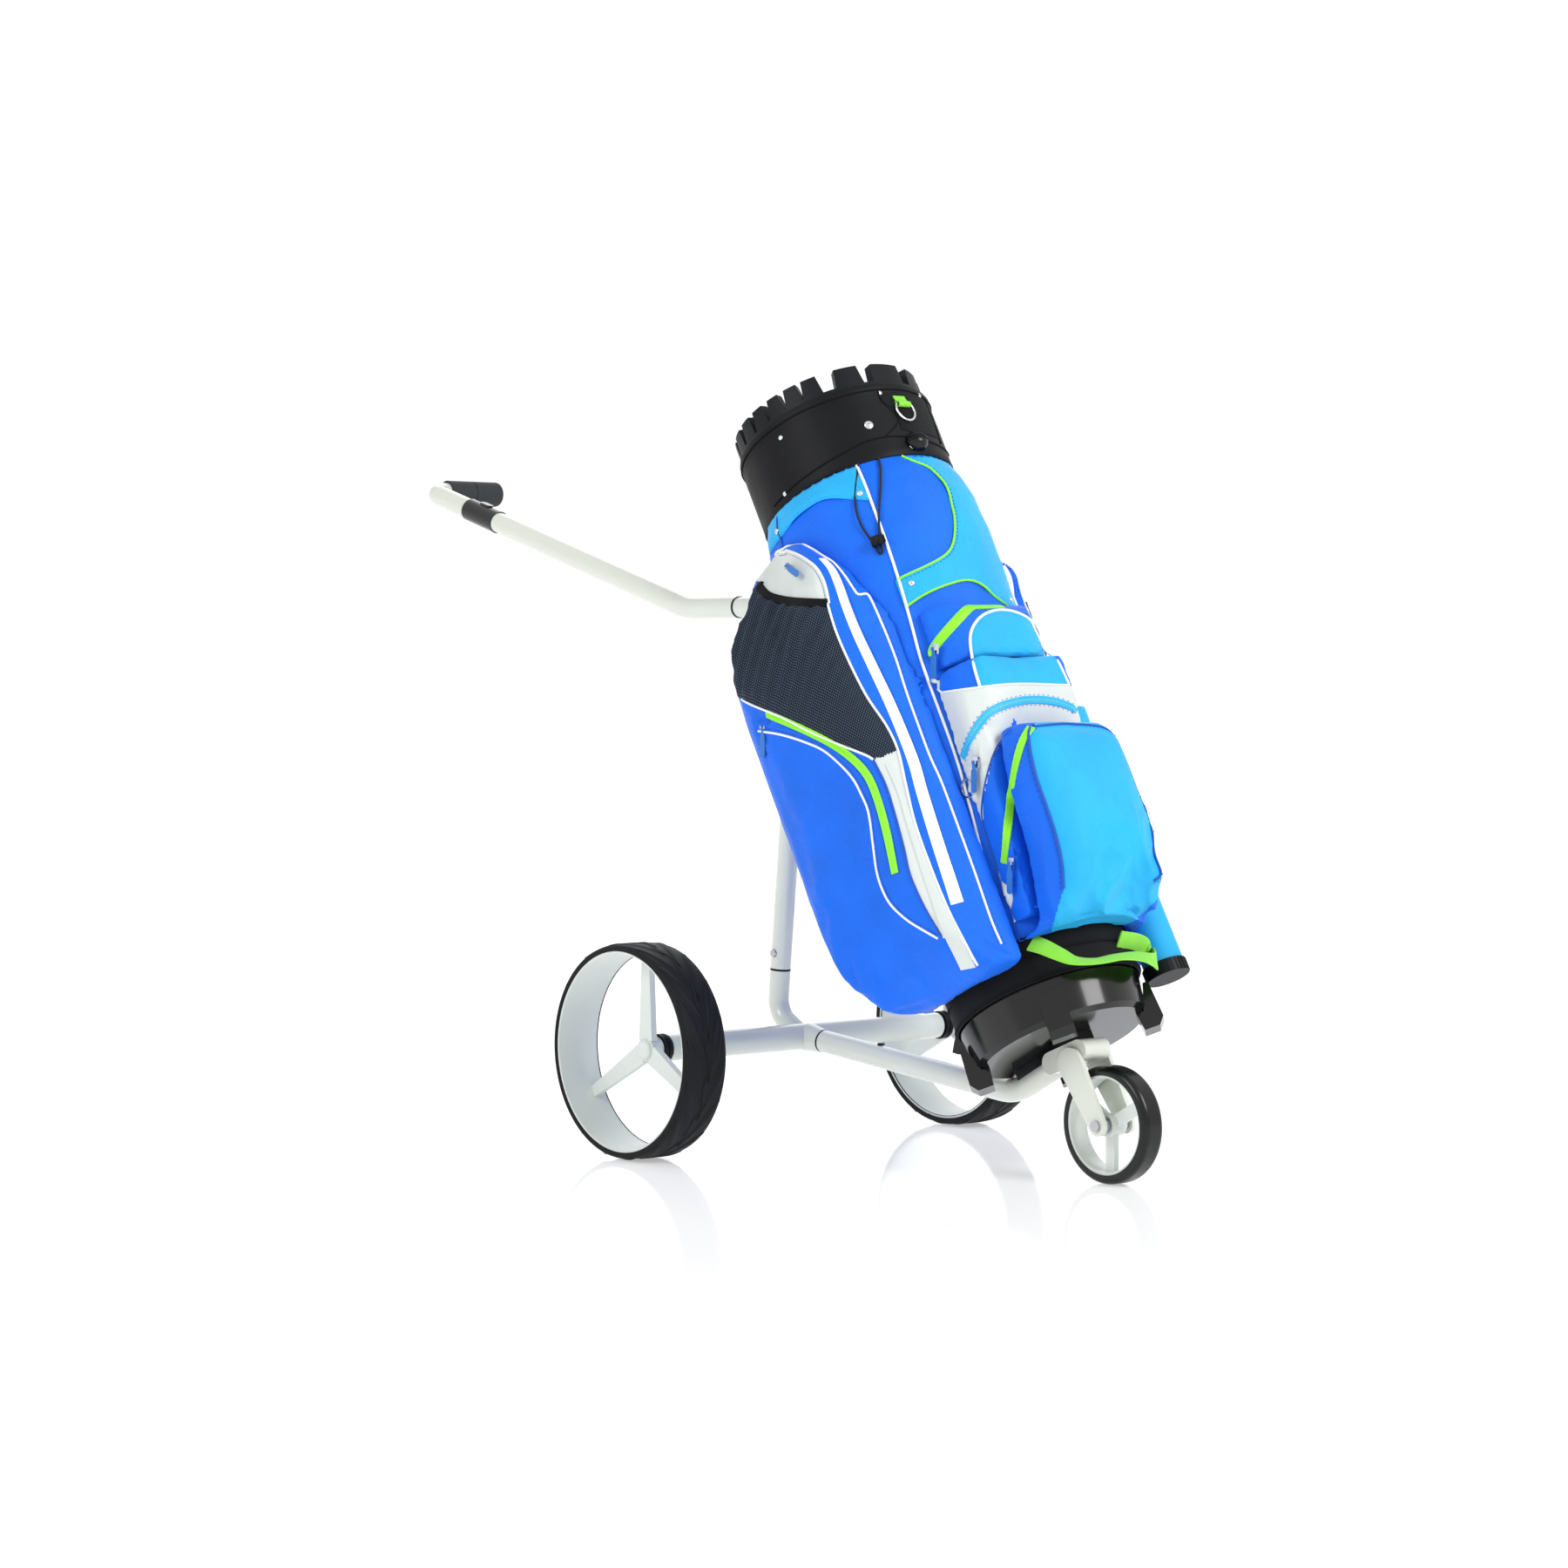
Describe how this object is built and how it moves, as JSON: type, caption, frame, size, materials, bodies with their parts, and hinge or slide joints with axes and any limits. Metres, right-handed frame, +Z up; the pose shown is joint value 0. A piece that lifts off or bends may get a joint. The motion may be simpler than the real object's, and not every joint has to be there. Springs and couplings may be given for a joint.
{
  "type": "golf bag on push cart",
  "caption": "Three-wheel golf push cart with bent tubular frame and turning grip, carrying a tilted cart bag with toothed club organiser, side, front and mesh pockets.",
  "frame": {"origin": "centre of the object's footprint box, on the ground", "axes": "+X forward towards the front wheel, +Y to the cart's left, +Z up"},
  "size_m": [1.5146, 0.642, 1.0318],
  "materials": {
    "white_paint": "glossy powder coat",
    "white_plastic": "moulded satin",
    "tread_rubber": "matte",
    "smooth_rubber": "glossy rubber",
    "grip_rubber": "matte foam rubber",
    "black_gloss": "high gloss moulded",
    "black_plastic": "fine grain moulded",
    "bearing_steel": "turned",
    "chrome_wire": "polished",
    "blue_nylon": "ripstop nylon",
    "black_mesh": "open knit mesh",
    "black_nylon": "woven nylon",
    "black_leatherette": "smooth leatherette",
    "divider_cloth": "plain lining",
    "lime_webbing": "woven webbing",
    "blue_rubber": "moulded soft rubber",
    "black_cord": "braided elastic cord"
  },
  "bodies": {
    "frame": {"crossbar": "white_paint", "axle_stub_left": "bearing_steel", "axle_stub_right": "bearing_steel", "forward_socket": "white_paint", "forward_tube": "white_paint", "fork": "white_paint", "elbow": "white_paint", "upright_tube": "white_paint", "joint_rings": "black_plastic", "bag_cradle": "white_paint", "saddle_pad": "smooth_rubber", "front_axle_set": "bearing_steel"},
    "handle": {"handle_tube": "white_paint", "handle_sleeve": "black_gloss"},
    "grip_end": {"grip_tube": "white_paint", "grip": "grip_rubber"},
    "sleeve_button": {"sleeve_button": "black_gloss"},
    "upright_button": {"upright_button": "bearing_steel"},
    "forward_button": {"forward_button": "black_plastic"},
    "front_wheel": {"front_rim": "white_plastic", "front_tyre": "smooth_rubber", "front_bearings": "bearing_steel"},
    "left_wheel": {"rear_rim_left": "white_plastic", "rear_tyre_left": "tread_rubber", "hub_bearings_left": "bearing_steel"},
    "right_wheel": {"rear_rim_right": "white_plastic", "rear_tyre_right": "tread_rubber", "hub_bearings_right": "bearing_steel"},
    "left_coupling": {"coupling_ring_left": "black_plastic"},
    "right_coupling": {"coupling_ring_right": "black_plastic"},
    "bag": {"bag_base": "black_gloss", "base_feet": "black_gloss", "trunk": "blue_nylon", "lower_band": "black_nylon", "dividers": "divider_cloth", "organizer_top": "black_plastic", "collar": "black_leatherette", "side_pocket_left": "blue_nylon", "side_pocket_right": "blue_nylon", "mesh_pocket_left": "black_mesh", "mesh_pocket_right": "black_mesh", "ball_pocket": "blue_nylon", "mid_pocket": "blue_nylon", "upper_pocket": "blue_nylon", "putter_tube": "blue_nylon", "putter_cap": "black_plastic", "grab_strap": "lime_webbing", "ring_loop": "lime_webbing", "carry_knob": "black_plastic", "hood_cord": "black_cord", "cord_lock": "black_plastic", "zip_sliders": "chrome_wire"},
    "towel_ring": {"towel_ring": "chrome_wire"},
    "zip_pull_ball": {"zip_pull_ball": "blue_rubber"},
    "zip_pull_mid": {"zip_pull_mid": "blue_rubber"},
    "zip_pull_upper": {"zip_pull_upper": "blue_rubber"},
    "zip_pull_side_right": {"zip_pull_side_right": "blue_rubber"},
    "zip_pull_side_left": {"zip_pull_side_left": "blue_rubber"},
    "zip_pull_top_right": {"zip_pull_top_right": "blue_rubber"},
    "zip_pull_top_left": {"zip_pull_top_left": "blue_rubber"}
  },
  "joints": [
    {"name": "left_wheel_spin", "type": "hinge", "parent": "frame", "child": "left_wheel", "pos_m": [0.11125, 0.2575, 0.14], "axis": [0, 1, 0], "continuous": true},
    {"name": "right_wheel_spin", "type": "hinge", "parent": "frame", "child": "right_wheel", "pos_m": [0.11125, -0.2575, 0.14], "axis": [0, 1, 0], "continuous": true},
    {"name": "front_wheel_spin", "type": "hinge", "parent": "frame", "child": "front_wheel", "pos_m": [0.68425, 0, 0.073], "axis": [0, 1, 0], "continuous": true},
    {"name": "left_coupling_release", "type": "slide", "parent": "frame", "child": "left_coupling", "axis": [0, -1, 0], "range_m": [0, 0.003], "stiffness_N_per_m": 900},
    {"name": "right_coupling_release", "type": "slide", "parent": "frame", "child": "right_coupling", "axis": [0, 1, 0], "range_m": [0, 0.003], "stiffness_N_per_m": 900},
    {"name": "handle_pull_off", "type": "slide", "parent": "frame", "child": "handle", "axis": [-1, 0, 0], "range_m": [0, 0.068]},
    {"name": "handle_end_turn", "type": "hinge", "parent": "handle", "child": "grip_end", "pos_m": [-0.64274, 0, 0.87046], "axis": [0.9573, 0, -0.289], "range_deg": [0, 180]},
    {"name": "sleeve_button_press", "type": "slide", "parent": "handle", "child": "sleeve_button", "axis": [-0.289, 0, -0.9573], "range_m": [0, 0.0012], "stiffness_N_per_m": 700},
    {"name": "upright_button_press", "type": "slide", "parent": "frame", "child": "upright_button", "axis": [0, 1, 0], "range_m": [0, 0.0025], "stiffness_N_per_m": 900},
    {"name": "forward_button_press", "type": "slide", "parent": "frame", "child": "forward_button", "axis": [-0.1051, 0, -0.9945], "range_m": [0, 0.0025], "stiffness_N_per_m": 900},
    {"name": "bag_lift", "type": "slide", "parent": "frame", "child": "bag", "axis": [-0.4848, 0, 0.8746], "range_m": [0, 0.1]},
    {"name": "towel_ring_swing", "type": "hinge", "parent": "bag", "child": "towel_ring", "pos_m": [0.30418, 0, 0.97758], "axis": [0, -1, 0], "range_deg": [0, 120]},
    {"name": "ball_pull_swing", "type": "hinge", "parent": "bag", "child": "zip_pull_ball", "pos_m": [0.60743, -0.1024, 0.39563], "axis": [-1, 0, 0], "range_deg": [0, 150]},
    {"name": "mid_pull_swing", "type": "hinge", "parent": "bag", "child": "zip_pull_mid", "pos_m": [0.54403, -0.1024, 0.51827], "axis": [-1, 0, 0], "range_deg": [0, 150]},
    {"name": "upper_pull_swing", "type": "hinge", "parent": "bag", "child": "zip_pull_upper", "pos_m": [0.46821, -0.1004, 0.65918], "axis": [-1, 0, 0], "range_deg": [0, 150]},
    {"name": "side_right_pull_swing", "type": "hinge", "parent": "bag", "child": "zip_pull_side_right", "pos_m": [0.26298, -0.2054, 0.55914], "axis": [-1, 0, 0], "range_deg": [0, 150]},
    {"name": "side_left_pull_swing", "type": "hinge", "parent": "bag", "child": "zip_pull_side_left", "pos_m": [0.26298, 0.2054, 0.55914], "axis": [1, 0, 0], "range_deg": [0, 150]},
    {"name": "top_right_pull_swing", "type": "hinge", "parent": "bag", "child": "zip_pull_top_right", "pos_m": [0.27665, -0.17797, 0.76548], "axis": [-0.3805, -0.2188, -0.8985], "range_deg": [0, 150]},
    {"name": "top_left_pull_swing", "type": "hinge", "parent": "bag", "child": "zip_pull_top_left", "pos_m": [0.27665, 0.17797, 0.76548], "axis": [0.3805, -0.2188, 0.8985], "range_deg": [0, 150]}
  ]
}
